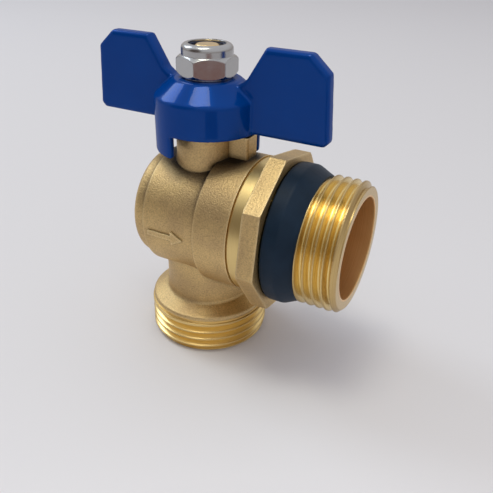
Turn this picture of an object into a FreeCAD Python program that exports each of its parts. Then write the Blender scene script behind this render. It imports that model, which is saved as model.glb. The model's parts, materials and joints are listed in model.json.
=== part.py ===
import FreeCAD, Part
import math
import os

# Angle ball valve with two G1 male ends, built in millimetres.
# The origin is the centre of the bottom port's end face. +Z runs up the stem, +X out of the side port.

# Frame of the valve
PORT_AXIS_Z = 36.4          # height of the side port's axis above the bottom port's face

# Pipe thread G1 on both ports
THREAD_R = 16.62            # major radius of G1
THREAD_PITCH = 2.309        # 11 threads per inch
FLANK_ANGLE = 55.0
THREAD_ROOT_FLAT = 0.4      # width of the groove's flat root
THREAD_DEPTH = 1.48
THREAD_OVER = 0.5           # how far the groove's cutter stands out of the thread
THREAD_LEAD_IN = 1.1        # chamfer at the thread's mouth
RELIEF_UNDERCUT = 0.04      # relief behind each thread, below the thread's root
THREAD_RELIEF_R = THREAD_R - THREAD_DEPTH - RELIEF_UNDERCUT

# Ball
BALL_PORT_R = 7.75
BALL_WALL = 4.25            # port to the ball's outside, across the flow
BALL_R = BALL_PORT_R + BALL_WALL
SLOT_WIDTH = 4.0
SLOT_DEPTH = 2.9

# Seats and the rubber rings behind them
BALL_GAP = 0.06             # between the ball and each seat
SEAT_BORE_STEP = 0.15       # seat's bore over the ball's port
SEAT_BORE_R = BALL_PORT_R + SEAT_BORE_STEP
SEAT_WIDTH = 4.0
SEAT_R = SEAT_BORE_R + SEAT_WIDTH
SEAT_THICKNESS = 3.2
SEAT_REACH = 4.7            # how far the seat's face lies inside the ball's outline
SEAT_FACE_X = BALL_R - SEAT_REACH
SEAT_POCKET_GAP = 0.1
BACKING_SECTION = 1.5       # squeezed rubber behind each seat
BACKING_INSET = 0.25
BACKING_R = SEAT_R - BACKING_INSET - BACKING_SECTION / 2
POCKET_X = SEAT_FACE_X + SEAT_THICKNESS + BACKING_SECTION

# Chamber and closed end of the valve body, cast brass
CHAMBER_GAP = 1.0           # between the ball and the chamber
CHAMBER_R = BALL_R + CHAMBER_GAP
BODY_WALL = 3.3
BODY_R = CHAMBER_R + BODY_WALL
POCKET_SHELF = 1.5          # shelf that the back seat's rubber ring leans on
SHELF_BORE_R = SEAT_BORE_R + POCKET_SHELF
SHELF_THICKNESS = 0.3
BODY_END_WALL = 2.4
BODY_END_X = -(POCKET_X + SHELF_THICKNESS + BODY_END_WALL)
END_DISC_INSET = 1.3        # the closed end's rim below the chamber's skin
END_DISC_R = BODY_R - END_DISC_INSET
END_DISC_LENGTH = 4.2
END_DISC_ROUND = 1.9
END_GROOVE_ROUND = 1.0      # hollow between the disc and the chamber's edge
END_EDGE_SLOPE = 0.3
ARROW_LENGTH = 10.5         # raised flow arrow on the chamber's side
ARROW_HEAD_LENGTH = 3.4
ARROW_HEAD_WIDTH = 3.8
ARROW_SHAFT_WIDTH = 1.4
ARROW_HEIGHT = 0.4
ARROW_STEP_GAP = 3.75       # arrow's tip to the mouth's step
ARROW_DROP_ANGLE = 5.0      # below the side port's axis, about that axis

# Mouth of the body, which takes the tail piece
SPIGOT_GAP = 0.3            # tail piece's end behind the seat's face
TAIL_SPIGOT_LENGTH = 7.5
SPIGOT_X = SEAT_FACE_X + SPIGOT_GAP
BODY_MOUTH_X = SPIGOT_X + TAIL_SPIGOT_LENGTH
SPIGOT_WALL = 3.6
TAIL_THREAD_R = SEAT_R + SPIGOT_WALL    # thread inside the body's mouth, as a plain cylinder
LAND_STEP = 0.5
TAIL_LAND_R = TAIL_THREAD_R + LAND_STEP # smooth land that carries the O-ring
TAIL_LAND_LENGTH = 2.8
MOUTH_WALL = 1.9
BODY_MOUTH_R = TAIL_LAND_R + MOUTH_WALL
MOUTH_LENGTH = 9.5
BODY_STEP_X = BODY_MOUTH_X - MOUTH_LENGTH
MOUTH_STEP_FILLET = 1.3     # hollow where the mouth rises from the chamber
MOUTH_STEP_SINK = 0.04      # hollow's foot below the chamber's skin
MOUTH_EDGE_ROUND = 0.3
SEAL_GAP = 0.05

# Neck and bottom port
NECK_BORE_STEP = 0.25
NECK_BORE_R = BALL_PORT_R + NECK_BORE_STEP
NECK_WALL = 3.8
NECK_R = NECK_BORE_R + NECK_WALL
NECK_FILLET = 0.9
BOTTOM_THREAD_LENGTH = 9.7
BOTTOM_THREAD_TURN = 140.0  # angle at which the bottom thread starts
BOTTOM_RELIEF_WIDTH = 0.8
BOTTOM_RELIEF_DEPTH = 0.6
SHOULDER_INSET = 0.32       # shoulder's rim below the thread's crests
SHOULDER_R = THREAD_R - SHOULDER_INSET
SHOULDER_LIP = 0.9          # upright edge of the shoulder above the thread
SHOULDER_RISE = 1.95        # slope from the lip up to the neck
SHOULDER_ROUND = 0.9
NECK_FOOT_ROUND = 1.0
BOTTOM_PORT_WALL = 3.82     # crest to bore
BOTTOM_BORE_R = THREAD_R - BOTTOM_PORT_WALL
BORE_CONE_ANGLE = 45.0      # slope of the bore's cone
BORE_NECK_DEPTH = 2.25      # cone's top end above the neck's foot

# Tail piece, screwed into the body's mouth
RING_STEP = 0.3             # turned ring below the body's mouth
TAIL_RING_R = BODY_MOUTH_R - RING_STEP
TAIL_RING_LENGTH = 4.2
TAIL_RING_CHAMFER = 0.3     # at the joint with the body
OCTAGON_X = BODY_MOUTH_X + TAIL_RING_LENGTH
OCTAGON_WIDTH = 4.6
OCTAGON_SIDES = 8
OCTAGON_ACROSS_CORNERS = 42.0
OCTAGON_TURN = 33.3         # corner angle above the -Y direction
OCTAGON_BEVEL = 0.2
OCTAGON_BEVEL_DEPTH = 0.4
SIDE_RELIEF_LENGTH = 8.3
SIDE_THREAD_LENGTH = 10.2
SIDE_THREAD_TURN = 301.0    # angle at which the side thread starts
SIDE_THREAD_X = OCTAGON_X + OCTAGON_WIDTH + SIDE_RELIEF_LENGTH
SIDE_FACE_X = SIDE_THREAD_X + SIDE_THREAD_LENGTH
SIDE_PORT_WALL = 3.62       # crest to bore
TAIL_BORE_R = THREAD_R - SIDE_PORT_WALL
TAIL_THROAT_LENGTH = 2.4
TAIL_CONE_LENGTH = 4.0
O_RING_GROOVE_WIDTH = 1.7
O_RING_GROOVE_DEPTH = 1.2
O_RING_GROOVE_OFFSET = 0.6

# Conical seal ring on the side port, rubber
SEAL_RING_WALL = 3.0
SEAL_RING_R = THREAD_RELIEF_R + SEAL_RING_WALL
SEAL_RING_TIP_WALL = 0.9
SEAL_RING_TIP_R = THREAD_RELIEF_R + SEAL_RING_TIP_WALL
SEAL_RING_GAP = 0.3         # to the octagon
SEAL_RING_FLAT = 3.7
SEAL_RING_LENGTH = SIDE_RELIEF_LENGTH - SEAL_RING_GAP
SEAL_RING_ROUND = 0.5
SEAL_RING_CONE_ROUND = 1.4  # between the flat and the cone

# Stem and its seals
STEM_R = 4.75
STEM_BORE_GAP = 0.07
TANG_LENGTH = 9.0
TANG_GAP = 0.1
TANG_BOTTOM_GAP = 0.2
FLANGE_WIDTH = 1.25         # anti-blow-out flange beyond the stem
STEM_FLANGE_R = STEM_R + FLANGE_WIDTH
FLANGE_BALL_GAP = 0.5
STEM_FLANGE_Z = PORT_AXIS_Z + BALL_R + FLANGE_BALL_GAP
STEM_FLANGE_THICKNESS = 1.8
FLANGE_POCKET_GAP = 0.15
THRUST_WASHER_THICKNESS = 0.8
THRUST_TOP_Z = STEM_FLANGE_Z + STEM_FLANGE_THICKNESS + THRUST_WASHER_THICKNESS
STEM_O_RING_SECTION = 1.2
STEM_GROOVE_WIDTH = 1.5
STEM_LAND = 1.1             # plain stem below and above its two O-rings
STEM_O_RING_STEP = 2.4
STEM_O_RING_START_Z = THRUST_TOP_Z + STEM_LAND

# Packing, gland nut, stem boss and stop lug
STUFFING_BOX_Z = STEM_O_RING_START_Z + STEM_O_RING_STEP + STEM_GROOVE_WIDTH + STEM_LAND
PACKING_WIDTH = 1.35
STUFFING_BOX_R = STEM_R + PACKING_WIDTH
PACKING_THICKNESS = 1.5
PACKING_TOP_Z = STUFFING_BOX_Z + 2 * PACKING_THICKNESS
GLAND_STEP = 0.2
GLAND_THREAD_R = STUFFING_BOX_R + GLAND_STEP    # gland nut's thread, as a plain cylinder
GLAND_ENGAGEMENT = 3.0
GLAND_ACROSS_FLATS = 13.0
GLAND_HEX_HEIGHT = 3.4
GLAND_HEX_Z = PACKING_TOP_Z + GLAND_ENGAGEMENT
BOSS_WALL = 1.8
BOSS_R = GLAND_THREAD_R + BOSS_WALL
BOSS_HEX_GAP = 0.2
BOSS_TOP_Z = GLAND_HEX_Z - BOSS_HEX_GAP
BOSS_FILLET = 0.5
LUG_LENGTH = 4.7
LUG_END_X = BOSS_R + LUG_LENGTH
LUG_HALF_WIDTH = 2.7
LUG_DROP = 3.7              # lug's top below the boss's
LUG_TOP_Z = BOSS_TOP_Z - LUG_DROP
LUG_ROUND = 0.8

# Nut on top of the handle
STUD_R = 4.0                # M8 end of the stem
NUT_BORE_GAP = 0.05
WASHER_WIDTH = 2.0
WASHER_R = STUD_R + WASHER_WIDTH
WASHER_THICKNESS = 0.5
NUT_ACROSS_FLATS = 13.0
NUT_HEX_HEIGHT = 4.8
NUT_TURN = 4.8              # corner angle from the -Y direction
NUT_TOP_BEVEL = 0.8         # height of the bevel at the corners
NUT_TOP_ROUND = 0.7
NUT_BOTTOM_BEVEL = 0.9
COLLAR_INSET = 0.2          # collar inside the hexagon's flats
COLLAR_R = NUT_ACROSS_FLATS / 2 - COLLAR_INSET
COLLAR_HEIGHT = 2.6
COLLAR_WALL = 0.7
COLLAR_ROUND = 1.3          # outside of the rolled lip
COLLAR_LIP_GAP = 0.55       # rolled lip's opening round the stem
COLLAR_LIP_R = STUD_R + COLLAR_LIP_GAP
COLLAR_LIP_THICKNESS = 0.5
INSERT_HEIGHT = 1.9

# Handle, a die-cast butterfly
SKIRT_OVERHANG = 0.4        # skirt beyond the stop lug
SKIRT_R = LUG_END_X + SKIRT_OVERHANG
SKIRT_WALL = 1.9
SKIRT_LUG_GAP = 0.4
SKIRT_BOTTOM_Z = LUG_TOP_Z + SKIRT_LUG_GAP
LEG_LENGTH = 5.4
LEG_BOTTOM_Z = SKIRT_BOTTOM_Z - LEG_LENGTH
LEG_CLEARANCE = 0.12        # each leg to the stop lug at its limit
HUB_CEILING_GAP = 1.7       # over the gland nut
HUB_CEILING_Z = GLAND_HEX_Z + GLAND_HEX_HEIGHT + HUB_CEILING_GAP
HUB_SHOULDER = 2.3          # slope between the ceiling and the skirt, inside
HUB_CEILING_R = SKIRT_R - SKIRT_WALL - HUB_SHOULDER
HUB_ROOF = 3.6
CONE_TOP_Z = HUB_CEILING_Z + HUB_ROOF
CONE_HEIGHT = 4.1
CONE_BASE_Z = CONE_TOP_Z - CONE_HEIGHT
CONE_LEDGE = 2.2            # cone's top round the washer
CONE_TOP_R = WASHER_R + CONE_LEDGE
HUB_EDGE_ROUND = 0.8
WING_THICKNESS = 3.9
WING_RISE = 8.5             # wing's top over the cone's
WING_TOP_Z = CONE_TOP_Z + WING_RISE
WING_LIFT = 0.4             # wing's lower edge over the skirt's
WING_BOTTOM_Z = SKIRT_BOTTOM_Z + WING_LIFT
WING_SPAN = 19.5
WING_TIP_BOTTOM_X = SKIRT_R + WING_SPAN
WING_TAPER = 1.2
WING_TIP_TOP_X = WING_TIP_BOTTOM_X - WING_TAPER
WING_CHAMFER_X = 4.5
WING_CHAMFER_Z = 4.0
WING_LOW_CHAMFER = 1.2
WING_TOP_LENGTH = 11.0
WING_INNER_TOP_X = WING_TIP_TOP_X - WING_CHAMFER_X - WING_TOP_LENGTH
WING_KNEE_X = 3.2           # knee of the inner edge, out from the cone's top and above it
WING_KNEE_Z = 1.1
WING_INNER_LOW_X = CONE_TOP_R + WING_KNEE_X
WING_INNER_LOW_Z = CONE_TOP_Z + WING_KNEE_Z
WING_ROOT_OUT = 0.6
WING_ROOT_DROP = 0.8
WING_ROOT_X = CONE_TOP_R + WING_ROOT_OUT
WING_ROOT_Z = CONE_TOP_Z - WING_ROOT_DROP
WING_EDGE_ROUND = 1.0
FLAT_ACROSS = 6.0           # double-D on the stem, for the handle
HANDLE_HOLE_GAP = 0.05

# Free end of the stem, in the nut
STEM_SETBACK = 0.25         # stem's end below the collar's top
STEM_TOP_Z = CONE_TOP_Z + WASHER_THICKNESS + NUT_HEX_HEIGHT + COLLAR_HEIGHT - STEM_SETBACK
STEM_TIP_INSET = 1.5        # flat end inside the stem's chamfer
STEM_TIP_R = STUD_R - STEM_TIP_INSET
STEM_CHAMFER_LENGTH = 1.4
STEM_TIP_ROUND = 0.4

# Working allowances
TINY = 0.02
OVER = 2.0                  # how far a cutter runs past what it cuts


def corner(along, across, radius=0.0):
    """A corner of an outline, with the radius that rounds it."""
    return along, across, radius


def outline(corners):
    """A closed outline in the XZ plane, its corners rounded by tangent arcs."""
    points = [FreeCAD.Vector(c[0], 0, c[1]) for c in corners]
    count = len(points)
    starts, ends, arcs = [], [], []
    for i, (here, spec) in enumerate(zip(points, corners)):
        if spec[2] <= 0:
            starts.append(here)
            ends.append(here)
            arcs.append(None)
            continue
        back = (points[i - 1] - here).normalize()
        ahead = (points[(i + 1) % count] - here).normalize()
        half = back.getAngle(ahead) / 2
        reach = spec[2] / math.tan(half)
        middle = here + (back + ahead).normalize() * (spec[2] / math.sin(half))
        inward = (here - middle).normalize() * spec[2]
        starts.append(here + back * reach)
        ends.append(here + ahead * reach)
        arcs.append(middle + inward)
    edges = []
    for i in range(count):
        if arcs[i] is not None:
            edges.append(Part.Arc(starts[i], arcs[i], ends[i]).toShape())
        following = starts[(i + 1) % count]
        if ends[i].distanceToPoint(following) > 1e-6:
            edges.append(Part.LineSegment(ends[i], following).toShape())
    return Part.Face(Part.Wire(edges))


def turned_x(corners):
    """A solid turned about the side port's axis, from corners given as x and radius."""
    lifted = [(c[0], c[1] + PORT_AXIS_Z, c[2]) for c in corners]
    axis_point = FreeCAD.Vector(0, 0, PORT_AXIS_Z)
    return outline(lifted).revolve(axis_point, FreeCAD.Vector(1, 0, 0), 360)


def turned_z(corners):
    """A solid turned about the stem axis, from corners given as radius and z."""
    return outline(corners).revolve(FreeCAD.Vector(0, 0, 0), FreeCAD.Vector(0, 0, 1), 360)


def rod_x(radius, start, end):
    """A plain round bar along the side port's axis."""
    return turned_x([corner(start, 0), corner(end, 0), corner(end, radius), corner(start, radius)])


def rod_z(radius, start, end):
    """A plain round bar along the stem axis."""
    return Part.makeCylinder(radius, end - start, FreeCAD.Vector(0, 0, start))


def ring_z(outer, inner, start, end):
    """A plain washer or ring on the stem axis."""
    return turned_z([corner(inner, start), corner(outer, start), corner(outer, end), corner(inner, end)])


def prism_z(sides, corner_radius, turn, start, end):
    """An upright prism with its first corner turned from the -Y direction."""
    points = []
    for i in range(sides + 1):
        angle = math.radians(turn) + i * math.tau / sides
        x = corner_radius * math.sin(angle)
        points.append(FreeCAD.Vector(x, -corner_radius * math.cos(angle), start))
    return Part.Face(Part.makePolygon(points)).extrude(FreeCAD.Vector(0, 0, end - start))


def thread_groove(length, turn):
    """The helical groove of a G1 thread that runs in along +Z from its mouth at z = 0."""
    slope = math.tan(math.radians(FLANK_ANGLE / 2))
    root_r = THREAD_R - THREAD_DEPTH
    outside_r = THREAD_R + THREAD_OVER
    half_root = THREAD_ROOT_FLAT / 2
    half_mouth = half_root + slope * (outside_r - root_r)
    points = [
        FreeCAD.Vector(root_r, 0, -half_root),
        FreeCAD.Vector(outside_r, 0, -half_mouth),
        FreeCAD.Vector(outside_r, 0, half_mouth),
        FreeCAD.Vector(root_r, 0, half_root),
    ]
    helix = Part.makeLongHelix(THREAD_PITCH, THREAD_PITCH + length - half_root, THREAD_R)
    sweep = Part.BRepOffsetAPI.MakePipeShell(Part.Wire(helix.Edges))
    sweep.setFrenetMode(True)
    sweep.add(Part.makePolygon(points + points[:1]))
    sweep.build()
    sweep.makeSolid()
    groove = sweep.shape()
    groove.translate(FreeCAD.Vector(0, 0, -THREAD_PITCH))
    groove.rotate(FreeCAD.Vector(0, 0, 0), FreeCAD.Vector(0, 0, 1), turn)
    return groove


def cast_cross():
    """The round chamber crossed by the neck and the stem boss, with cast fillets."""
    cross = rod_x(BODY_R, BODY_END_X, BODY_MOUTH_X)
    cross = cross.fuse([
        rod_z(NECK_R, shoulder_top_z(), PORT_AXIS_Z),
        rod_z(BOSS_R, PORT_AXIS_Z, BOSS_TOP_Z),
    ])
    for wall_r, fillet, low, high in (
        (NECK_R, NECK_FILLET, shoulder_top_z() + TINY, PORT_AXIS_Z),
        (BOSS_R, BOSS_FILLET, PORT_AXIS_Z, BOSS_TOP_Z - TINY),
    ):
        seams = []
        for edge in cross.Edges:
            box = edge.BoundBox
            on_wall = all(abs(math.hypot(p.x, p.y) - wall_r) < TINY for p in edge.discretize(5))
            if on_wall and low < box.ZMin and box.ZMax < high and box.XLength > TINY:
                seams.append(edge)
        cross = cross.makeFillet(fillet, seams)
    return cross


def make_valve_body():
    """Cast chamber, neck, bottom port, stem boss and stop lug, with everything bored out of it."""
    skin_r = BODY_R - MOUTH_STEP_SINK
    fillet = min(MOUTH_STEP_FILLET, BODY_MOUTH_R - MOUTH_EDGE_ROUND - skin_r)
    mouth = turned_x([
        corner(BODY_STEP_X - fillet, 0),
        corner(BODY_STEP_X - fillet, skin_r),
        corner(BODY_STEP_X, skin_r, fillet),
        corner(BODY_STEP_X, BODY_MOUTH_R, MOUTH_EDGE_ROUND),
        corner(BODY_MOUTH_X, BODY_MOUTH_R),
        corner(BODY_MOUTH_X, 0),
    ])
    casting = cast_cross().fuse([mouth, make_lug(), make_flow_arrow(), make_bottom_port()])
    return casting.cut([end_trim(), body_hollow(), stem_hollow()])


def end_trim():
    """What is cut away around the closed end outside the neck, which leaves its disc and groove."""
    disc_end = BODY_END_X + END_DISC_LENGTH
    around = turned_x([
        corner(BODY_END_X - OVER, BODY_R + OVER),
        corner(BODY_END_X - OVER, 0),
        corner(BODY_END_X, 0),
        corner(BODY_END_X, END_DISC_R, END_DISC_ROUND),
        corner(disc_end, END_DISC_R, END_GROOVE_ROUND),
        corner(disc_end + END_EDGE_SLOPE, BODY_R),
        corner(disc_end + END_EDGE_SLOPE, BODY_R + OVER),
    ])
    return around.cut(rod_z(NECK_R, shoulder_top_z(), PORT_AXIS_Z))


def shoulder_top_z():
    """Height where the neck meets the bottom port's shoulder."""
    return BOTTOM_THREAD_LENGTH + BOTTOM_RELIEF_WIDTH + SHOULDER_LIP + SHOULDER_RISE


def make_bottom_port():
    """The threaded end under the neck, with its relief and cast shoulder."""
    shoulder_z = BOTTOM_THREAD_LENGTH + BOTTOM_RELIEF_WIDTH
    relief_r = THREAD_R - BOTTOM_RELIEF_DEPTH
    end = turned_z([
        corner(0, 0),
        corner(THREAD_R - THREAD_LEAD_IN, 0),
        corner(THREAD_R, THREAD_LEAD_IN),
        corner(THREAD_R, BOTTOM_THREAD_LENGTH),
        corner(relief_r, BOTTOM_THREAD_LENGTH),
        corner(relief_r, shoulder_z),
        corner(SHOULDER_R, shoulder_z),
        corner(SHOULDER_R, shoulder_z + SHOULDER_LIP, SHOULDER_ROUND),
        corner(NECK_R, shoulder_top_z(), NECK_FOOT_ROUND),
        corner(NECK_R, shoulder_top_z() + NECK_FOOT_ROUND),
        corner(0, shoulder_top_z() + NECK_FOOT_ROUND),
    ])
    return end.cut(thread_groove(BOTTOM_THREAD_LENGTH, BOTTOM_THREAD_TURN))


def make_flow_arrow():
    """The raised arrow cast on the chamber's side, pointing out of the side port."""
    tip_x = BODY_STEP_X - ARROW_STEP_GAP
    neck_x = tip_x - ARROW_HEAD_LENGTH
    tail_x = tip_x - ARROW_LENGTH
    shaft = ARROW_SHAFT_WIDTH / 2
    head = ARROW_HEAD_WIDTH / 2
    upper = [(tail_x, shaft), (neck_x, shaft), (neck_x, head), (tip_x, 0)]
    lower = [(neck_x, -head), (neck_x, -shaft), (tail_x, -shaft)]
    points = [FreeCAD.Vector(x, -BODY_R - ARROW_HEIGHT, PORT_AXIS_Z + z) for x, z in upper + lower]
    arrow = Part.Face(Part.makePolygon(points + points[:1])).extrude(FreeCAD.Vector(0, BODY_WALL / 2, 0))
    arrow.rotate(FreeCAD.Vector(0, 0, PORT_AXIS_Z), FreeCAD.Vector(1, 0, 0), ARROW_DROP_ANGLE)
    return arrow


def make_lug():
    """The stop lug beside the boss, with its two outer corners rounded."""
    lug = Part.makeBox(
        LUG_END_X, 2 * LUG_HALF_WIDTH, LUG_TOP_Z - PORT_AXIS_Z,
        FreeCAD.Vector(0, -LUG_HALF_WIDTH, PORT_AXIS_Z),
    )
    uprights = [e for e in lug.Edges if e.BoundBox.ZLength > LUG_ROUND and e.BoundBox.XMin > TINY]
    return lug.makeFillet(LUG_ROUND, uprights)


def body_hollow():
    """The chamber for ball and seats, the mouth for the tail piece and the way down to the bottom port."""
    floor_x = BODY_END_X + BODY_END_WALL
    across = turned_x([
        corner(floor_x, 0),
        corner(floor_x, SHELF_BORE_R),
        corner(-POCKET_X, SHELF_BORE_R),
        corner(-POCKET_X, SEAT_R + SEAT_POCKET_GAP),
        corner(-SEAT_FACE_X, SEAT_R + SEAT_POCKET_GAP),
        corner(-SEAT_FACE_X, CHAMBER_R),
        corner(SPIGOT_X - SEAL_GAP, CHAMBER_R),
        corner(SPIGOT_X - SEAL_GAP, TAIL_THREAD_R + SEAL_GAP),
        corner(BODY_MOUTH_X - TAIL_LAND_LENGTH, TAIL_THREAD_R + SEAL_GAP),
        corner(BODY_MOUTH_X - TAIL_LAND_LENGTH, TAIL_LAND_R + SEAL_GAP),
        corner(BODY_MOUTH_X + OVER, TAIL_LAND_R + SEAL_GAP),
        corner(BODY_MOUTH_X + OVER, 0),
    ])
    cone_top_z = shoulder_top_z() + BORE_NECK_DEPTH
    cone_rise = (BOTTOM_BORE_R - NECK_BORE_R) * math.tan(math.radians(BORE_CONE_ANGLE))
    down = turned_z([
        corner(0, -OVER),
        corner(BOTTOM_BORE_R, -OVER),
        corner(BOTTOM_BORE_R, cone_top_z - cone_rise),
        corner(NECK_BORE_R, cone_top_z),
        corner(NECK_BORE_R, PORT_AXIS_Z),
        corner(0, PORT_AXIS_Z),
    ])
    return across.fuse(down)


def stem_hollow():
    """The stepped hole through the boss for the stem, its seals and the gland nut."""
    return turned_z([
        corner(0, PORT_AXIS_Z),
        corner(STEM_FLANGE_R + FLANGE_POCKET_GAP, PORT_AXIS_Z),
        corner(STEM_FLANGE_R + FLANGE_POCKET_GAP, THRUST_TOP_Z),
        corner(STEM_R + STEM_BORE_GAP, THRUST_TOP_Z),
        corner(STEM_R + STEM_BORE_GAP, STUFFING_BOX_Z),
        corner(STUFFING_BOX_R + SEAL_GAP, STUFFING_BOX_Z),
        corner(STUFFING_BOX_R + SEAL_GAP, PACKING_TOP_Z),
        corner(GLAND_THREAD_R + SEAL_GAP, PACKING_TOP_Z),
        corner(GLAND_THREAD_R + SEAL_GAP, BOSS_TOP_Z + OVER),
        corner(0, BOSS_TOP_Z + OVER),
    ])


def make_tail_piece():
    """End piece with its spigot in the body, the spanner octagon and the side port's thread."""
    octagon_end = OCTAGON_X + OCTAGON_WIDTH
    land_x = BODY_MOUTH_X - TAIL_LAND_LENGTH
    groove_end = BODY_MOUTH_X - O_RING_GROOVE_OFFSET
    groove_start = groove_end - O_RING_GROOVE_WIDTH
    groove_r = TAIL_LAND_R - O_RING_GROOVE_DEPTH
    turned = turned_x([
        corner(SPIGOT_X, 0),
        corner(SPIGOT_X, TAIL_THREAD_R),
        corner(land_x, TAIL_THREAD_R),
        corner(land_x, TAIL_LAND_R),
        corner(groove_start, TAIL_LAND_R),
        corner(groove_start, groove_r),
        corner(groove_end, groove_r),
        corner(groove_end, TAIL_LAND_R),
        corner(BODY_MOUTH_X, TAIL_LAND_R),
        corner(BODY_MOUTH_X, TAIL_RING_R - TAIL_RING_CHAMFER),
        corner(BODY_MOUTH_X + TAIL_RING_CHAMFER, TAIL_RING_R),
        corner(octagon_end, TAIL_RING_R),
        corner(octagon_end, THREAD_RELIEF_R),
        corner(SIDE_THREAD_X, THREAD_RELIEF_R),
        corner(SIDE_THREAD_X, THREAD_R),
        corner(SIDE_FACE_X - THREAD_LEAD_IN, THREAD_R),
        corner(SIDE_FACE_X, THREAD_R - THREAD_LEAD_IN),
        corner(SIDE_FACE_X, 0),
    ])
    return turned.fuse(make_octagon()).cut([tail_hollow(), side_groove()])


def make_octagon():
    """The spanner collar, an octagon with both rims bevelled on the lathe."""
    corner_r = OCTAGON_ACROSS_CORNERS / 2
    octagon_end = OCTAGON_X + OCTAGON_WIDTH
    points = []
    for i in range(OCTAGON_SIDES + 1):
        angle = math.radians(OCTAGON_TURN) + i * math.tau / OCTAGON_SIDES
        y = -corner_r * math.cos(angle)
        z = PORT_AXIS_Z + corner_r * math.sin(angle)
        points.append(FreeCAD.Vector(OCTAGON_X, y, z))
    prism = Part.Face(Part.makePolygon(points)).extrude(FreeCAD.Vector(OCTAGON_WIDTH, 0, 0))
    envelope = turned_x([
        corner(OCTAGON_X, 0),
        corner(OCTAGON_X, corner_r - OCTAGON_BEVEL_DEPTH),
        corner(OCTAGON_X + OCTAGON_BEVEL, corner_r),
        corner(octagon_end - OCTAGON_BEVEL, corner_r),
        corner(octagon_end, corner_r - OCTAGON_BEVEL_DEPTH),
        corner(octagon_end, 0),
    ])
    return prism.common(envelope)


def tail_hollow():
    """The side port's bore, its cone down to the ball's port and the pocket for the seat."""
    cone_end = POCKET_X + TAIL_THROAT_LENGTH + TAIL_CONE_LENGTH
    return turned_x([
        corner(SEAT_FACE_X - OVER, 0),
        corner(SEAT_FACE_X - OVER, SEAT_R + SEAT_POCKET_GAP),
        corner(POCKET_X, SEAT_R + SEAT_POCKET_GAP),
        corner(POCKET_X, SEAT_BORE_R),
        corner(cone_end - TAIL_CONE_LENGTH, SEAT_BORE_R),
        corner(cone_end, TAIL_BORE_R),
        corner(SIDE_FACE_X + OVER, TAIL_BORE_R),
        corner(SIDE_FACE_X + OVER, 0),
    ])


def side_groove():
    """The thread groove turned to run in from the side port's face."""
    groove = thread_groove(SIDE_THREAD_LENGTH, SIDE_THREAD_TURN)
    groove.rotate(FreeCAD.Vector(0, 0, 0), FreeCAD.Vector(0, 1, 0), -90)
    groove.translate(FreeCAD.Vector(SIDE_FACE_X, 0, PORT_AXIS_Z))
    return groove


def make_conical_seal_ring():
    """Rubber ring in the tail piece's relief, with a cone that seals against the manifold's mouth."""
    start = OCTAGON_X + OCTAGON_WIDTH + SEAL_RING_GAP
    inner = THREAD_RELIEF_R + SEAL_GAP
    return turned_x([
        corner(start, inner),
        corner(start, SEAL_RING_R, SEAL_RING_ROUND),
        corner(start + SEAL_RING_FLAT, SEAL_RING_R, SEAL_RING_CONE_ROUND),
        corner(start + SEAL_RING_LENGTH, SEAL_RING_TIP_R),
        corner(start + SEAL_RING_LENGTH, inner),
    ])


def torus_x(x, radius, section):
    """A rubber ring lying across the side port's axis."""
    place = FreeCAD.Vector(x, 0, PORT_AXIS_Z)
    return Part.makeTorus(radius, section / 2, place, FreeCAD.Vector(1, 0, 0))


def make_tail_piece_o_ring():
    """O-ring in the tail piece's land."""
    middle_x = BODY_MOUTH_X - O_RING_GROOVE_OFFSET - O_RING_GROOVE_WIDTH / 2
    return torus_x(middle_x, TAIL_LAND_R - O_RING_GROOVE_DEPTH / 2, O_RING_GROOVE_DEPTH - TINY)


def make_ball():
    """Ball with an elbow bored through it and a slot for the stem's tang."""
    middle = FreeCAD.Vector(0, 0, PORT_AXIS_Z)
    ball = Part.makeSphere(BALL_R, middle)
    side_bore = rod_x(BALL_PORT_R, 0, BALL_R + OVER)
    bottom_bore = rod_z(BALL_PORT_R, PORT_AXIS_Z - BALL_R - OVER, PORT_AXIS_Z)
    elbow = Part.makeSphere(BALL_PORT_R, middle)
    slot = Part.makeBox(
        SLOT_WIDTH, 2 * BALL_R, SLOT_DEPTH + OVER,
        FreeCAD.Vector(-SLOT_WIDTH / 2, -BALL_R, PORT_AXIS_Z + BALL_R - SLOT_DEPTH),
    )
    return ball.cut([side_bore.fuse([bottom_bore, elbow]), slot])


def make_seat(side):
    """PTFE seat ring, hollowed to the ball, on the port side (1) or the closed side (-1)."""
    back_x = SEAT_FACE_X + SEAT_THICKNESS
    ring = turned_x([
        corner(side * SEAT_FACE_X, SEAT_BORE_R),
        corner(side * SEAT_FACE_X, SEAT_R),
        corner(side * back_x, SEAT_R),
        corner(side * back_x, SEAT_BORE_R),
    ])
    return ring.cut(Part.makeSphere(BALL_R + BALL_GAP, FreeCAD.Vector(0, 0, PORT_AXIS_Z)))


def make_backing_ring(side):
    """Rubber ring that presses a seat against the ball."""
    middle_x = side * (SEAT_FACE_X + SEAT_THICKNESS + BACKING_SECTION / 2)
    return torus_x(middle_x, BACKING_R, BACKING_SECTION)


def stem_o_ring_z(index):
    """Middle of the groove of the lower (0) or upper (1) stem O-ring."""
    return STEM_O_RING_START_Z + STEM_GROOVE_WIDTH / 2 + index * STEM_O_RING_STEP


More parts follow.
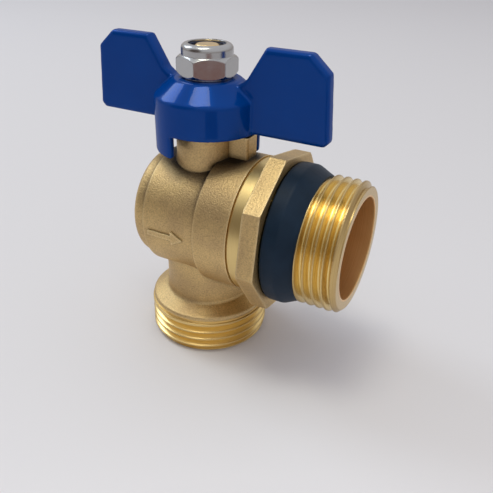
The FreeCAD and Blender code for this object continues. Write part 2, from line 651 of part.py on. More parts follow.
def make_stem():
    """Stem with its tang, anti-blow-out flange, O-ring grooves, handle flats and M8 end."""
    corners = [
        corner(0, STEM_FLANGE_Z),
        corner(STEM_FLANGE_R, STEM_FLANGE_Z),
        corner(STEM_FLANGE_R, STEM_FLANGE_Z + STEM_FLANGE_THICKNESS),
        corner(STEM_R, STEM_FLANGE_Z + STEM_FLANGE_THICKNESS),
    ]
    groove_r = STEM_R - STEM_O_RING_SECTION
    for index in range(2):
        low = stem_o_ring_z(index) - STEM_GROOVE_WIDTH / 2
        high = low + STEM_GROOVE_WIDTH
        corners += [corner(STEM_R, low), corner(groove_r, low), corner(groove_r, high), corner(STEM_R, high)]
    corners += [
        corner(STEM_R, HUB_CEILING_Z - TINY),
        corner(STUD_R, HUB_CEILING_Z - TINY),
        corner(STUD_R, STEM_TOP_Z - STEM_CHAMFER_LENGTH, STEM_TIP_ROUND),
        corner(STEM_TIP_R, STEM_TOP_Z, STEM_TIP_ROUND),
        corner(0, STEM_TOP_Z),
    ]
    stem = turned_z(corners)
    flat_height = CONE_TOP_Z - HUB_CEILING_Z + TINY
    for side in (-1, 1):
        start_x = FLAT_ACROSS / 2 if side > 0 else -FLAT_ACROSS / 2 - OVER
        place = FreeCAD.Vector(start_x, -STEM_R, HUB_CEILING_Z - TINY)
        stem = stem.cut(Part.makeBox(OVER, 2 * STEM_R, flat_height, place))
    tang_z = PORT_AXIS_Z + BALL_R - SLOT_DEPTH + TANG_BOTTOM_GAP
    tang_width = SLOT_WIDTH - 2 * TANG_GAP
    tang = Part.makeBox(
        tang_width, TANG_LENGTH, STEM_FLANGE_Z - tang_z,
        FreeCAD.Vector(-tang_width / 2, -TANG_LENGTH / 2, tang_z),
    )
    return stem.fuse(tang)


def make_stem_thrust_washer():
    """PTFE washer between the stem's flange and the body."""
    low = STEM_FLANGE_Z + STEM_FLANGE_THICKNESS + TINY
    return ring_z(STEM_FLANGE_R, STEM_R + SEAL_GAP, low, THRUST_TOP_Z)


def make_stem_o_ring(index):
    """O-ring in the stem's lower (0) or upper (1) groove."""
    section = STEM_O_RING_SECTION
    place = FreeCAD.Vector(0, 0, stem_o_ring_z(index))
    return Part.makeTorus(STEM_R - section / 2 + TINY, section / 2, place, FreeCAD.Vector(0, 0, 1))


def make_packing_ring(index):
    """PTFE packing ring, lower (0) or upper (1)."""
    low = STUFFING_BOX_Z + index * PACKING_THICKNESS
    return ring_z(STUFFING_BOX_R, STEM_R + SEAL_GAP, low, low + PACKING_THICKNESS)


def make_gland_nut():
    """Brass nut that presses the packing down, with its thread in the boss."""
    corner_r = GLAND_ACROSS_FLATS / 2 / math.cos(math.radians(30))
    spigot = rod_z(GLAND_THREAD_R, PACKING_TOP_Z, GLAND_HEX_Z)
    head = prism_z(6, corner_r, 0, GLAND_HEX_Z, GLAND_HEX_Z + GLAND_HEX_HEIGHT)
    hole = rod_z(STEM_R + STEM_BORE_GAP, PACKING_TOP_Z - OVER, GLAND_HEX_Z + GLAND_HEX_HEIGHT + OVER)
    return spigot.fuse(head).cut(hole)


def wing_plate():
    """One wing of the handle, a flat plate with rounded edges, on the +X side."""
    face = outline([
        corner(0, WING_BOTTOM_Z),
        corner(WING_TIP_BOTTOM_X - WING_LOW_CHAMFER, WING_BOTTOM_Z),
        corner(WING_TIP_BOTTOM_X, WING_BOTTOM_Z + WING_LOW_CHAMFER),
        corner(WING_TIP_TOP_X, WING_TOP_Z - WING_CHAMFER_Z),
        corner(WING_TIP_TOP_X - WING_CHAMFER_X, WING_TOP_Z),
        corner(WING_INNER_TOP_X, WING_TOP_Z),
        corner(WING_INNER_LOW_X, WING_INNER_LOW_Z),
        corner(WING_ROOT_X, WING_ROOT_Z),
        corner(0, WING_ROOT_Z),
    ])
    face.translate(FreeCAD.Vector(0, -WING_THICKNESS / 2, 0))
    plate = face.extrude(FreeCAD.Vector(0, WING_THICKNESS, 0))
    rims = []
    for edge in plate.Edges:
        box = edge.BoundBox
        if box.YLength < TINY and box.XMax > WING_ROOT_X + TINY and box.XLength + box.ZLength > TINY:
            rims.append(edge)
    return plate.makeFillet(WING_EDGE_ROUND, rims)


def leg(turn):
    """One stop leg under the skirt, cut by two upright planes that meet the lug at the limits."""
    reach = LUG_HALF_WIDTH + LEG_CLEARANCE
    inner = SKIRT_R - SKIRT_WALL
    ring = ring_z(SKIRT_R, inner, LEG_BOTTOM_Z, SKIRT_BOTTOM_Z + OVER)
    height = SKIRT_BOTTOM_Z + 2 * OVER - LEG_BOTTOM_Z
    place = FreeCAD.Vector(-SKIRT_R - OVER - reach, -SKIRT_R - OVER - reach, LEG_BOTTOM_Z - OVER / 2)
    sector = Part.makeBox(SKIRT_R + OVER, SKIRT_R + OVER, height, place)
    piece = ring.common(sector)
    piece.rotate(FreeCAD.Vector(0, 0, 0), FreeCAD.Vector(0, 0, 1), turn)
    return piece


def make_handle():
    """Butterfly handle: hub with its skirt, two stop legs and two wings."""
    inner = SKIRT_R - SKIRT_WALL
    hub = turned_z([
        corner(0, HUB_CEILING_Z),
        corner(HUB_CEILING_R, HUB_CEILING_Z),
        corner(inner, HUB_CEILING_Z - (inner - HUB_CEILING_R)),
        corner(inner, SKIRT_BOTTOM_Z),
        corner(SKIRT_R, SKIRT_BOTTOM_Z),
        corner(SKIRT_R, CONE_BASE_Z, HUB_EDGE_ROUND),
        corner(CONE_TOP_R, CONE_TOP_Z, HUB_EDGE_ROUND),
        corner(0, CONE_TOP_Z),
    ])
    wings = []
    for turn in (0, 180):
        wing = wing_plate()
        wing.rotate(FreeCAD.Vector(0, 0, 0), FreeCAD.Vector(0, 0, 1), turn)
        wings.append(wing)
    hollow = turned_z([
        corner(0, WING_BOTTOM_Z - OVER),
        corner(inner, WING_BOTTOM_Z - OVER),
        corner(inner, HUB_CEILING_Z - (inner - HUB_CEILING_R)),
        corner(HUB_CEILING_R, HUB_CEILING_Z),
        corner(0, HUB_CEILING_Z),
    ])
    blades = wings[0].fuse(wings[1]).cut(hollow)
    hole = rod_z(STUD_R + HANDLE_HOLE_GAP, HUB_CEILING_Z - OVER, CONE_TOP_Z + OVER)
    across = FLAT_ACROSS + 2 * HANDLE_HOLE_GAP
    flats = Part.makeBox(
        across, 2 * STEM_R, CONE_TOP_Z - HUB_CEILING_Z + 2 * OVER,
        FreeCAD.Vector(-across / 2, -STEM_R, HUB_CEILING_Z - OVER),
    )
    return hub.fuse([blades, leg(0), leg(180)]).cut(hole.common(flats))


def make_handle_washer():
    """Plain washer under the lock nut."""
    return ring_z(WASHER_R, STUD_R + NUT_BORE_GAP, CONE_TOP_Z, CONE_TOP_Z + WASHER_THICKNESS)


def make_lock_nut():
    """M8 lock nut: bevelled hexagon with a collar rolled over the nylon insert."""
    low = CONE_TOP_Z + WASHER_THICKNESS
    hex_top = low + NUT_HEX_HEIGHT
    top = hex_top + COLLAR_HEIGHT
    corner_r = NUT_ACROSS_FLATS / 2 / math.cos(math.radians(30))
    bevel_depth = corner_r - NUT_ACROSS_FLATS / 2
    head = prism_z(6, corner_r, NUT_TURN, low, hex_top + bevel_depth)
    envelope = turned_z([
        corner(0, low),
        corner(corner_r - bevel_depth, low),
        corner(corner_r, low + NUT_BOTTOM_BEVEL),
        corner(corner_r, hex_top - NUT_TOP_BEVEL, NUT_TOP_ROUND),
        corner(COLLAR_R, hex_top + TINY),
        corner(0, hex_top + TINY),
    ])
    collar = turned_z([
        corner(0, low),
        corner(COLLAR_R, low),
        corner(COLLAR_R, top, COLLAR_ROUND),
        corner(COLLAR_LIP_R, top),
        corner(COLLAR_LIP_R, top - COLLAR_LIP_THICKNESS),
        corner(COLLAR_R - COLLAR_WALL, top - COLLAR_LIP_THICKNESS),
        corner(COLLAR_R - COLLAR_WALL, insert_floor_z()),
        corner(0, insert_floor_z()),
    ])
    hole = rod_z(STUD_R + NUT_BORE_GAP, low - OVER, top + OVER)
    seat = rod_z(COLLAR_R - COLLAR_WALL, insert_floor_z(), top)
    return head.common(envelope).cut(seat).fuse(collar).cut(hole)


def insert_floor_z():
    """Underside of the nylon insert, in its groove in the nut."""
    collar_top = CONE_TOP_Z + WASHER_THICKNESS + NUT_HEX_HEIGHT + COLLAR_HEIGHT
    return collar_top - COLLAR_LIP_THICKNESS - INSERT_HEIGHT


def make_nylon_insert():
    """Nylon ring that grips the stem's thread."""
    low = insert_floor_z()
    return ring_z(COLLAR_R - COLLAR_WALL, STUD_R + NUT_BORE_GAP, low, low + INSERT_HEIGHT)


def save(name, shape):
    """Write one sub-part to its own STEP file."""
    shape = shape.removeSplitter()
    solids = shape.Solids
    solid = solids[0] if len(solids) == 1 else Part.makeCompound(solids)
    solid.exportStep(os.path.join("parts", name + ".step"))
    print(name, len(solids), round(solid.Volume, 1), solid.isValid())


os.makedirs("parts", exist_ok=True)
save("valve_body", make_valve_body())
save("tail_piece", make_tail_piece())
save("tail_piece_o_ring", make_tail_piece_o_ring())
save("conical_seal_ring", make_conical_seal_ring())
save("ball", make_ball())
save("port_seat", make_seat(1))
save("back_seat", make_seat(-1))
save("port_seat_backing_ring", make_backing_ring(1))
save("back_seat_backing_ring", make_backing_ring(-1))
save("stem", make_stem())
save("stem_thrust_washer", make_stem_thrust_washer())
save("stem_o_ring_lower", make_stem_o_ring(0))
save("stem_o_ring_upper", make_stem_o_ring(1))
save("packing_ring_lower", make_packing_ring(0))
save("packing_ring_upper", make_packing_ring(1))
save("gland_nut", make_gland_nut())
save("handle", make_handle())
save("handle_washer", make_handle_washer())
save("lock_nut", make_lock_nut())
save("nylon_insert", make_nylon_insert())
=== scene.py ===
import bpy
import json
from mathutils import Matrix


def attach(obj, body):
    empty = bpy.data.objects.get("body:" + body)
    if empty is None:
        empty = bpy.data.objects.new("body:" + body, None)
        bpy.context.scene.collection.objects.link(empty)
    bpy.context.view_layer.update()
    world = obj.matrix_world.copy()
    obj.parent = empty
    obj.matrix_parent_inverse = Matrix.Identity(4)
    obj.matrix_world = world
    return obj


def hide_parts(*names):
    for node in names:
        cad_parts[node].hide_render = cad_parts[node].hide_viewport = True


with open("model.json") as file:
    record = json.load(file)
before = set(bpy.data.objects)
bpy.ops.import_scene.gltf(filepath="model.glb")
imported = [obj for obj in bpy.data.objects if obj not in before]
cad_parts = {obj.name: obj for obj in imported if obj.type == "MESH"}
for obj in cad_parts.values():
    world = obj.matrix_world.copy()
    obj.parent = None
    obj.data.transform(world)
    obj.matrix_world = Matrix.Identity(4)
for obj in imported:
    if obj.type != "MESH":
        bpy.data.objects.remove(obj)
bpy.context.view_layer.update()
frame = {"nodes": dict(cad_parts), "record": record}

import bpy
import bmesh
import json
import math
from mathutils import Matrix, Vector

MM = 0.001
nodes = frame["nodes"]


# Valve body. A hot-stamped brass casting, shot-blasted all over, so its skin is a matte, even grain.
# Its bottom end is turned afterwards: the thread and the rim are bright bare brass, the bore is duller.
# Its creases, and its top round the boss under the handle, are darkened with painted shade, and its raised
# edges are lightened with a painted highlight.
cast_gold, cast_brown, cast_pit = "#dcbe86", "#c8ab7c", "#8a7350"
painted_crease_shade, painted_edge_highlight = "#453520", "#f4dfae"
painted_shade = "#2b2825"
body_thread = ("#e4be76", "#fce6a4")
bore_dark, bore_light = "#daaa6e", "#f6d094"
worn_brass = "#ab8a5c"
blasted_roughness, turned_roughness, satin_roughness = 0.46, 0.27, 0.36
thread_satin = 0.95             # the body's thread is nearly as dull as the satin of the bore
film_and_shade_metallic = 0.85          # less metallic in the bores, under a film, and under the painted shade
grit_size, grit_height = 0.38 * MM, 0.12 * MM      # the real grit is about 0.2 mm, too fine to show
tool_mark_pitch, tool_mark_height = 0.16 * MM, 0.006 * MM
patch_size = 9 * MM             # the casting's tarnish comes in patches
crease_reach, crest_reach = 1.7 * MM, 0.7 * MM
shade_reach = 9 * MM            # the painted shade lies this near to a wall that shelters it
shade_floor = 40 * MM           # and above this height
blasted_edge, turned_edge = 0.25 * MM, 0.5 * MM
bottom_thread_top = 10.45 * MM
bottom_bore_radius = 13.2 * MM


def linear(code):
    """An sRGB hex colour as linear RGBA."""
    values = [int(code[i:i + 2], 16) / 255 for i in (1, 3, 5)]
    return [v / 12.92 if v <= 0.04045 else ((v + 0.055) / 1.055) ** 2.4 for v in values] + [1.0]


def fill_inputs(tree, node, inputs):
    """Links each input to its socket, or to the first output of its node, or sets it to its constant."""
    for name, source in inputs.items():
        if isinstance(source, bpy.types.Node):
            source = source.outputs[0]
        if isinstance(source, bpy.types.NodeSocket):
            tree.links.new(source, node.inputs[name])
        else:
            node.inputs[name].default_value = source


def add_node(tree, kind, inputs=None, **settings):
    """Adds a node with its settings and its inputs."""
    node = tree.nodes.new(kind)
    for name, value in settings.items():
        setattr(node, name, value)
    fill_inputs(tree, node, inputs or {})
    return node


def new_material(name):
    """A new material, as the material, its node tree, its shader and its object coordinates."""
    material = bpy.data.materials.new(name)
    material.use_nodes = True
    tree = material.node_tree
    place = add_node(tree, "ShaderNodeTexCoord").outputs["Object"]
    return material, tree, tree.nodes["Principled BSDF"], place


def give(node_name, material):
    """Puts one material on all the slots of a CAD node."""
    node = nodes[node_name]
    for slot in node.material_slots:
        slot.material = material


def distance_from_axis(tree, place, across, axis_point):
    """How far a place lies from an axis, across being 1 along the two directions that count."""
    centred = add_node(tree, "ShaderNodeVectorMath", {0: place, 1: axis_point}, operation="SUBTRACT")
    flat = add_node(tree, "ShaderNodeVectorMath", {0: centred, 1: across}, operation="MULTIPLY")
    return add_node(tree, "ShaderNodeVectorMath", {0: flat}, operation="LENGTH").outputs["Value"]


def shut_in(tree, reach, closed, clear, most, inside=False, fade="LINEAR"):
    """From 0 in the clear up to most, where surfaces shelter a place or, with inside, lie close behind it."""
    openness = add_node(tree, "ShaderNodeAmbientOcclusion", {"Distance": reach},
                        samples=8, inside=inside, only_local=True).outputs["AO"]
    return add_node(tree, "ShaderNodeMapRange",
                    {"Value": openness, "From Min": closed, "From Max": clear, "To Min": most, "To Max": 0.0},
                    interpolation_type=fade)


def brass_finish(name, zones, tool_axis, turned_colours):
    """Blasted cast brass, changed where zones gives the values turned, bored, satin, painted shade and
    handled.
    """
    material, tree, shader, place = new_material(name)
    axes = add_node(tree, "ShaderNodeSeparateXYZ", {"Vector": place})
    turned, bored, satin, shaded, handled = zones(tree, axes, place)

    grit = add_node(tree, "ShaderNodeTexNoise",
                    {"Vector": place, "Scale": 1 / grit_size, "Detail": 3, "Roughness": 0.6})
    patches = add_node(tree, "ShaderNodeTexNoise", {"Vector": place, "Scale": 1 / patch_size, "Detail": 2})
    tarnish = add_node(tree, "ShaderNodeMapRange", {"Value": patches, "From Min": 0.35, "From Max": 0.65})
    pits = add_node(tree, "ShaderNodeMapRange",
                    {"Value": grit, "From Min": 0.3, "From Max": 0.6, "To Min": 0.5, "To Max": 0.0})
    # Painted shade darkens the skin in its creases and corners.
    crease_shade = shut_in(tree, crease_reach, closed=0.42, clear=0.95, most=0.85)
    # A painted highlight lightens the skin on its raised edges.
    edge_highlight_and_wear = shut_in(tree, crest_reach, closed=0.45, clear=0.95, most=0.55, inside=True)
    # Painted shade: the top round the boss, sheltered by it and under the handle, is darkened and made less
    # metallic.
    shaded_hollows = shut_in(tree, shade_reach, closed=0.74, clear=0.95, most=0.96, fade="SMOOTHSTEP")
    shade_cover = add_node(tree, "ShaderNodeMath", {0: shaded_hollows, 1: shaded}, operation="MULTIPLY")
    skin = linear(cast_gold)
    for cover, tint in ((tarnish, cast_brown), (pits, cast_pit), (crease_shade, painted_crease_shade),
                        (edge_highlight_and_wear, painted_edge_highlight), (shade_cover, painted_shade)):
        skin = add_node(tree, "ShaderNodeMixRGB", {"Fac": cover, "Color1": skin, "Color2": linear(tint)})

    marks = add_node(tree, "ShaderNodeTexNoise",
                     {"W": axes.outputs[tool_axis], "Scale": 1 / tool_mark_pitch, "Detail": 1},
                     noise_dimensions="1D")
    thread_dark, thread_light = turned_colours
    bright = add_node(tree, "ShaderNodeMixRGB",
                      {"Fac": marks, "Color1": linear(thread_dark), "Color2": linear(thread_light)})
    # On the turned brass the same edge mask gives the crests a worn, browner tone.
    worn = add_node(tree, "ShaderNodeMath", {0: edge_highlight_and_wear, 1: handled}, operation="MAXIMUM")
    bright = add_node(tree, "ShaderNodeMixRGB", {"Fac": worn, "Color1": bright, "Color2": linear(worn_brass)})
    dull = add_node(tree, "ShaderNodeMixRGB",
                    {"Fac": marks, "Color1": linear(bore_dark), "Color2": linear(bore_light)})
    colour = add_node(tree, "ShaderNodeMixRGB", {"Fac": turned, "Color1": skin, "Color2": bright})
    colour = add_node(tree, "ShaderNodeMixRGB", {"Fac": bored, "Color1": colour, "Color2": dull})

    gloss = add_node(tree, "ShaderNodeMapRange",
                     {"Value": turned, "To Min": blasted_roughness, "To Max": turned_roughness})
    dullness = add_node(tree, "ShaderNodeMath", {0: bored, 1: satin}, operation="MAXIMUM")
    dullness = add_node(tree, "ShaderNodeMath", {0: dullness, 1: satin_roughness}, operation="MULTIPLY")
    roughness = add_node(tree, "ShaderNodeMath", {0: gloss, 1: dullness}, operation="MAXIMUM")
    film_and_shade = add_node(tree, "ShaderNodeMath", {0: bored, 1: shade_cover}, operation="MAXIMUM")
    metallic = add_node(tree, "ShaderNodeMapRange", {"Value": film_and_shade, "To Min": 1.0, "To Max": film_and_shade_metallic})

    edge_radius = add_node(tree, "ShaderNodeMapRange",
                           {"Value": turned, "To Min": blasted_edge, "To Max": turned_edge})
    soft_edges = add_node(tree, "ShaderNodeBevel", {"Radius": edge_radius}, samples=6)
    relief = add_node(tree, "ShaderNodeMixRGB", {"Fac": turned, "Color1": grit, "Color2": marks})
    relief_height = add_node(tree, "ShaderNodeMapRange",
                             {"Value": turned, "To Min": grit_height, "To Max": tool_mark_height})
    bump = add_node(tree, "ShaderNodeBump",
                    {"Height": relief, "Distance": relief_height, "Normal": soft_edges, "Strength": 1.0})
    fill_inputs(tree, shader,
                {"Base Color": colour, "Metallic": metallic, "Roughness": roughness, "Normal": bump})
    return material


def body_zones(tree, axes, place):
    """Turned below the casting's shoulder, bored inside the bottom port, with painted shade on top round the
    boss.
    """
    height = axes.outputs["Z"]
    turned = add_node(tree, "ShaderNodeMath", {0: height, 1: bottom_thread_top}, operation="LESS_THAN")
    radius = distance_from_axis(tree, place, (1, 1, 0), (0, 0, 0))
    inside = add_node(tree, "ShaderNodeMath", {0: radius, 1: bottom_bore_radius}, operation="LESS_THAN")
    bored = add_node(tree, "ShaderNodeMath", {0: turned, 1: inside}, operation="MULTIPLY")
    satin = add_node(tree, "ShaderNodeMath", {0: turned, 1: thread_satin}, operation="MULTIPLY")
    faces = add_node(tree, "ShaderNodeTexCoord").outputs["Normal"]
    rise = add_node(tree, "ShaderNodeSeparateXYZ", {"Vector": faces}).outputs["Z"]
    upwards = add_node(tree, "ShaderNodeMapRange", {"Value": rise, "From Min": 0.15, "From Max": 0.6},
                       interpolation_type="SMOOTHSTEP")
    # The painted shade goes on upward faces high on the body, round the boss under the handle.
    high = add_node(tree, "ShaderNodeMath", {0: height, 1: shade_floor}, operation="GREATER_THAN")
    shaded = add_node(tree, "ShaderNodeMath", {0: high, 1: upwards}, operation="MULTIPLY")
    handled = 0.0
    return turned, bored, satin, shaded, handled


give("valve_body", brass_finish("blasted and turned brass", body_zones, "Z", body_thread))


# Tail piece. Hot-stamped brass like the body: the octagon's flats keep the blasted skin.
# The ring behind it and the thread in front of it are turned, and the bore is duller.
# The ring and the thread's lead-in are handled, so their brass is browner.
tail_thread = ("#e0c07a", "#fbe5a4")
octagon_back, octagon_front = 19.35 * MM, 24.0 * MM
ring_radius = 17.8 * MM
side_bore_radius = 13.4 * MM
mounts = {mount["name"]: mount for mount in frame["record"]["mounts"]}
port_face, port_side, port_axis_height = mounts["side_port_face"]["pos_m"]
lead_in_length = 1.8 * MM
lead_in_wear, ring_wear = 0.6, 0.27


def tail_zones(tree, axes, place):
    """Turned everywhere but on the octagon, bored inside the side port, handled on the ring and lead-in."""
    along = axes.outputs["X"]
    radius = distance_from_axis(tree, place, (0, 1, 1), (0, port_side, port_axis_height))
    inner = add_node(tree, "ShaderNodeMath", {0: radius, 1: ring_radius}, operation="LESS_THAN")
    behind = add_node(tree, "ShaderNodeMath", {0: along, 1: octagon_back}, operation="LESS_THAN")
    ahead = add_node(tree, "ShaderNodeMath", {0: along, 1: octagon_front}, operation="GREATER_THAN")
    turned = add_node(tree, "ShaderNodeMath", {0: behind, 1: ahead}, operation="MAXIMUM")
    turned = add_node(tree, "ShaderNodeMath", {0: inner, 1: turned}, operation="MAXIMUM")
    bored = add_node(tree, "ShaderNodeMath", {0: radius, 1: side_bore_radius}, operation="LESS_THAN")
    satin = behind
    shaded = 0.0
    lead_in = add_node(tree, "ShaderNodeMath", {0: along, 1: port_face - lead_in_length},
                       operation="GREATER_THAN")
    lead_in = add_node(tree, "ShaderNodeMath", {0: lead_in, 1: lead_in_wear}, operation="MULTIPLY")
    ring = add_node(tree, "ShaderNodeMath", {0: behind, 1: ring_wear}, operation="MULTIPLY")
    handled = add_node(tree, "ShaderNodeMath", {0: lead_in, 1: ring}, operation="MAXIMUM")
    return turned, bored, satin, shaded, handled


give("tail_piece", brass_finish("turned and blasted brass", tail_zones, "X", tail_thread))


# Conical seal ring and O-rings. Black nitrile rubber and blue-black EPDM, moulded, with a satin skin
# that the mould's own fine grain breaks up and that holds a little pale dust.
epdm_dark, epdm_dusty = "#0d1c2a", "#1c3044"
nitrile_dark, nitrile_dusty = "#141516", "#1e2022"
mould_grain, mould_grain_height = 0.5 * MM, 0.02 * MM      # coarser than the real grain, to show
dust_patch = 5 * MM


def rubber(name, dark, dusty):
    """Moulded rubber with a fine mould grain."""
    material, tree, shader, place = new_material(name)
    grain = add_node(tree, "ShaderNodeTexNoise", {"Vector": place, "Scale": 1 / mould_grain, "Detail": 3})
    dust = add_node(tree, "ShaderNodeTexNoise", {"Vector": place, "Scale": 1 / dust_patch, "Detail": 4})
    colour = add_node(tree, "ShaderNodeMixRGB",
                      {"Fac": dust, "Color1": linear(dark), "Color2": linear(dusty)})
    bump = add_node(tree, "ShaderNodeBump",
                    {"Height": grain, "Strength": 0.5, "Distance": mould_grain_height})
    fill_inputs(tree, shader,
                {"Base Color": colour, "Roughness": 0.45, "Specular IOR Level": 0.15, "Normal": bump})
    return material


give("conical_seal_ring", rubber("moulded EPDM rubber", epdm_dark, epdm_dusty))
nitrile = rubber("moulded nitrile rubber", nitrile_dark, nitrile_dusty)
for ring in ("tail_piece_o_ring", "port_seat_backing_ring", "back_seat_backing_ring",
             "stem_o_ring_lower", "stem_o_ring_upper"):
    give(ring, nitrile)


# Ball. Turned brass under polished chrome plate, mirror bright, seen only down the two bores.
# It floats between the seats, and the stem's tang turns it by its slot.
chrome = "#dcdee0"
ball_scratch_size = 3 * MM
scratch_height = 0.05 * MM
plated_edge = 0.3 * MM


def bright_plate(name, colour, roughness, scratch_size):
    """Plated metal whose gloss and surface vary a little, as handling leaves them."""
    material, tree, shader, place = new_material(name)
    scratches = add_node(tree, "ShaderNodeTexNoise",
                         {"Vector": place, "Scale": 1 / scratch_size, "Detail": 4})
    rough = add_node(tree, "ShaderNodeMapRange",
                     {"Value": scratches, "To Min": roughness * 0.7, "To Max": roughness * 1.4})
    soft_edges = add_node(tree, "ShaderNodeBevel", {"Radius": plated_edge}, samples=6)
    bump = add_node(tree, "ShaderNodeBump",
                    {"Height": scratches, "Normal": soft_edges, "Strength": 0.6, "Distance": scratch_height})
    fill_inputs(tree, shader,
                {"Base Color": linear(colour), "Metallic": 1.0, "Roughness": rough, "Normal": bump})
    return material


give("ball", bright_plate("chrome-plated brass", chrome, roughness=0.08, scratch_size=ball_scratch_size))


# Seats, thrust washer and packing. Skived PTFE, a waxy white plastic with a soft sheen.
# The seats lie in their pockets against the ball, the other rings round the stem.
ptfe_white, ptfe_shade = "#eeeeea", "#dcdcd6"
mottle_size, mottle_height = 1.5 * MM, 0.02 * MM


def moulded_plastic(name, colour, shade, roughness):
    """A plain plastic with a slight mottle and a fine skin."""
    material, tree, shader, place = new_material(name)
    mottle = add_node(tree, "ShaderNodeTexNoise", {"Vector": place, "Scale": 1 / mottle_size, "Detail": 3})
    tone = add_node(tree, "ShaderNodeMixRGB",
                    {"Fac": mottle, "Color1": linear(colour), "Color2": linear(shade)})
    bump = add_node(tree, "ShaderNodeBump", {"Height": mottle, "Strength": 0.3, "Distance": mottle_height})
    fill_inputs(tree, shader, {"Base Color": tone, "Roughness": roughness, "Normal": bump})
    return material


ptfe = moulded_plastic("skived PTFE", ptfe_white, ptfe_shade, roughness=0.4)
for ring in ("port_seat", "back_seat", "stem_thrust_washer", "packing_ring_lower", "packing_ring_upper"):
    give(ring, ptfe)


# Stem and gland nut. Turned from dezincification-resistant brass bar, paler and pinker than the casting.
# The lathe leaves fine rings round the stem's end.
bar_dark, bar_light = "#caa468", "#f0d8a6"
lathe_ring_pitch, lathe_ring_height = 0.3 * MM, 0.02 * MM      # coarser than the real rings, to show

bar_brass, tree, shader, place = new_material("turned brass bar")
radius = distance_from_axis(tree, place, (1, 1, 0), (0, 0, 0))
marks = add_node(tree, "ShaderNodeTexNoise", {"W": radius, "Scale": 1 / lathe_ring_pitch, "Detail": 1},
                 noise_dimensions="1D")
colour = add_node(tree, "ShaderNodeMixRGB",
                  {"Fac": marks, "Color1": linear(bar_dark), "Color2": linear(bar_light)})
bump = add_node(tree, "ShaderNodeBump", {"Height": marks, "Strength": 0.6, "Distance": lathe_ring_height})
fill_inputs(tree, shader, {"Base Color": colour, "Metallic": 1.0, "Roughness": 0.3, "Normal": bump})
give("stem", bar_brass)
give("gland_nut", bar_brass)


# Butterfly handle. Zinc die-casting under thick glossy blue enamel, which rounds every edge
# and fills the corners where the wings leave the hub. The enamel's surface ripples a little.
enamel_deep, enamel_light = "#003680", "#004191"
enamel_voxel = 0.4 * MM
weld_distance = 0.001 * MM
ripple_size, ripple_height = 2.5 * MM, 0.03 * MM
flow_size = 12 * MM             # patches where the enamel ran thicker and is deeper in colour

enamel_shape = bmesh.new()
enamel_shape.from_mesh(nodes["handle"].data)
bmesh.ops.remove_doubles(enamel_shape, verts=enamel_shape.verts, dist=weld_distance)
handle_mesh = bpy.data.meshes.new("enamelled_handle")
enamel_shape.to_mesh(handle_mesh)
enamel_shape.free()
handle = bpy.data.objects.new("enamelled_handle", handle_mesh)
bpy.context.scene.collection.objects.link(handle)
remesh = handle.modifiers.new("enamel skin", "REMESH")
remesh.mode = "VOXEL"
remesh.voxel_size = enamel_voxel
remesh.use_smooth_shade = True
flow = handle.modifiers.new("enamel flow", "SMOOTH")
flow.factor = 0.5
flow.iterations = 2

enamel, tree, shader, place = new_material("blue enamel on zinc")
ripple = add_node(tree, "ShaderNodeTexNoise", {"Vector": place, "Scale": 1 / ripple_size, "Detail": 1})
depth = add_node(tree, "ShaderNodeTexNoise", {"Vector": place, "Scale": 1 / flow_size, "Detail": 2})
tone = add_node(tree, "ShaderNodeMixRGB",
                {"Fac": depth, "Color1": linear(enamel_deep), "Color2": linear(enamel_light)})
bump = add_node(tree, "ShaderNodeBump", {"Height": ripple, "Strength": 0.4, "Distance": ripple_height})
fill_inputs(tree, shader, {"Base Color": tone, "Metallic": 0.2, "Roughness": 0.24, "Specular IOR Level": 0.0,
                           "Coat Weight": 0.27, "Coat Roughness": 0.05, "Normal": bump})
handle.data.materials.append(enamel)
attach(handle, "handle_assembly")
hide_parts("handle")


# Washer and lock nut. Cold-formed steel with bright zinc plate, uneven enough to blur what it mirrors.
# The nut's collar is rolled over a ring of dyed nylon, which grips the stem's thread.
zinc_plate = "#b2b1b0"
zinc_scratch_size = 2.2 * MM
nylon_blue, nylon_shade = "#12264c", "#0d1c3a"

zinc = bright_plate("bright zinc plate on steel", zinc_plate, roughness=0.2, scratch_size=zinc_scratch_size)
give("handle_washer", zinc)
give("lock_nut", zinc)
give("nylon_insert", moulded_plastic("dyed nylon", nylon_blue, nylon_shade, roughness=0.35))


# Studio. A pale grey table that runs out of view under a bright sky, with a painted pool of light on it in
# front of the object.
# A window is to the left and a ceiling lamp overhead. The nut's front face shows a brown card on the
# table, and the room is darker to the left of the front.
look_at = Vector((11.797, 0, 28.179)) * MM
table_far, table_painted_lit = "#ccc9cb", "#e2dfe1"
table_half = 3.0
painted_light_azimuth, painted_light_distance, painted_light_reach = 27, 132 * MM, 80 * MM
card_colour = "#854d3f"
card_lift = 0.2 * MM
card_near_azimuths, card_near_distance = (25, 51), 180 * MM
card_far_azimuths, card_far_distance = (49, 27), 500 * MM
horizon, overhead, dark_side = "#b6b0ac", "#e2e3e8", "#54463d"
dark_side_azimuth, dark_side_elevation = -26, 20


def turned_towards(direction, roll=0.0):
    """The rotation of a camera or lamp whose back faces along direction, turned by roll about it."""
    back = direction.normalized()
    right = Vector((0, 0, 1)).cross(back).normalized()
    up = back.cross(right)
    right, up = (right * math.cos(roll) + up * math.sin(roll), up * math.cos(roll) - right * math.sin(roll))
    return Matrix((right, up, back)).transposed().to_4x4()


def direction_of(azimuth, elevation):
    """The direction from the object to a place at this azimuth from the front, towards +X, and elevation."""
    azimuth, elevation = math.radians(azimuth), math.radians(elevation)
    return Vector((
        math.sin(azimuth) * math.cos(elevation),
        -math.cos(azimuth) * math.cos(elevation),
        math.sin(elevation),
    ))


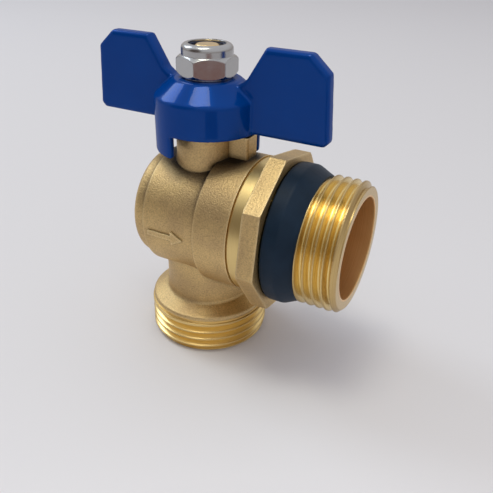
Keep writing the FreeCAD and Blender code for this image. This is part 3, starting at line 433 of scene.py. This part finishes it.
def soft_box(name, azimuth, elevation, distance, width, height, watts, colour):
    """A soft rectangular lamp that faces the object."""
    lamp = bpy.data.lights.new(name, "AREA")
    lamp.shape = "RECTANGLE"
    lamp.size = width
    lamp.size_y = height
    lamp.energy = watts
    lamp.color = linear(colour)[:3]
    holder = bpy.data.objects.new(name, lamp)
    direction = direction_of(azimuth, elevation)
    holder.matrix_world = Matrix.Translation(look_at + direction * distance) @ turned_towards(direction)
    bpy.context.scene.collection.objects.link(holder)


soft_box("window_box", azimuth=-97, elevation=40, distance=1.2, width=0.40, height=0.46, watts=3.0,
         colour="#e2f2ff")
soft_box("ceiling_box", azimuth=-44, elevation=80, distance=1.2, width=0.34, height=0.46, watts=4.0,
         colour="#fcfced")


def stage_sheet(name, corners, colour):
    """A flat sheet of the studio through its corners, in metres, as its node tree, shader and places."""
    shape = bmesh.new()
    shape.faces.new([shape.verts.new(corner) for corner in corners])
    mesh = bpy.data.meshes.new(name)
    shape.to_mesh(mesh)
    shape.free()
    sheet = bpy.data.objects.new(name, mesh)
    bpy.context.scene.collection.objects.link(sheet)
    material, tree, shader, place = new_material("studio " + name)
    fill_inputs(tree, shader, {"Base Color": linear(colour), "Roughness": 0.85})
    mesh.materials.append(material)
    return tree, shader, place


table_corners = [(x * table_half, y * table_half, 0) for x, y in ((-1, -1), (1, -1), (1, 1), (-1, 1))]
tree, shader, place = stage_sheet("table_top", table_corners, table_far)
# The table's colour is lighter near the front: a painted pool of light.
painted_light_pool = look_at + direction_of(painted_light_azimuth, 0) * painted_light_distance
reach = distance_from_axis(tree, place, (1, 1, 0), painted_light_pool)
painted_light_strength = add_node(tree, "ShaderNodeMath", {0: painted_light_reach, 1: reach}, operation="DIVIDE",
                    use_clamp=True)
tone = add_node(tree, "ShaderNodeMixRGB",
                {"Fac": painted_light_strength, "Color1": linear(table_far), "Color2": linear(table_painted_lit)})
fill_inputs(tree, shader, {"Base Color": tone})

card_corners = [direction_of(azimuth, 0) * card_near_distance for azimuth in card_near_azimuths]
card_corners += [direction_of(azimuth, 0) * card_far_distance for azimuth in card_far_azimuths]
stage_sheet("floor_card", [corner + Vector((0, 0, card_lift)) for corner in card_corners], card_colour)

world = bpy.data.worlds.new("studio")
bpy.context.scene.world = world
world.use_nodes = True
tree = world.node_tree
sky = add_node(tree, "ShaderNodeTexCoord").outputs["Generated"]
height = add_node(tree, "ShaderNodeSeparateXYZ", {"Vector": sky}).outputs["Z"]
rise = add_node(tree, "ShaderNodeMapRange", {"Value": height, "From Min": 0.0, "From Max": 0.6},
                interpolation_type="SMOOTHSTEP")
room = add_node(tree, "ShaderNodeMixRGB",
                {"Fac": rise, "Color1": linear(horizon), "Color2": linear(overhead)})
towards_dark = direction_of(dark_side_azimuth, dark_side_elevation)
facing = add_node(tree, "ShaderNodeVectorMath", {0: sky, 1: towards_dark},
                  operation="DOT_PRODUCT").outputs["Value"]
dimming = add_node(tree, "ShaderNodeMapRange",
                   {"Value": facing, "From Min": 0.84, "From Max": 0.95, "To Max": 0.9},
                   interpolation_type="SMOOTHSTEP")
room = add_node(tree, "ShaderNodeMixRGB", {"Fac": dimming, "Color1": room, "Color2": linear(dark_side)})
fill_inputs(tree, tree.nodes["Background"], {"Color": room, "Strength": 0.97})


# Camera, where the photograph was taken from: fitted to the threads, the faces and the handle.
# The focal length and the frame are in the photograph's pixels.
camera_azimuth, camera_elevation = 27.009, 30.096
camera_roll = math.radians(1.523)
camera_distance = 152.682 * MM
focal_pixels, frame_pixels = 558.652, 493

camera_data = bpy.data.cameras.new("camera")
camera_data.sensor_width = 36.0
camera_data.lens = camera_data.sensor_width * focal_pixels / frame_pixels
camera_data.clip_start = 0.01
camera = bpy.data.objects.new("camera", camera_data)
towards_camera = direction_of(camera_azimuth, camera_elevation)
camera.matrix_world = (Matrix.Translation(look_at + towards_camera * camera_distance)
                       @ turned_towards(towards_camera, camera_roll))
bpy.context.scene.collection.objects.link(camera)
bpy.context.scene.camera = camera
bpy.context.scene.view_settings.view_transform = "Standard"
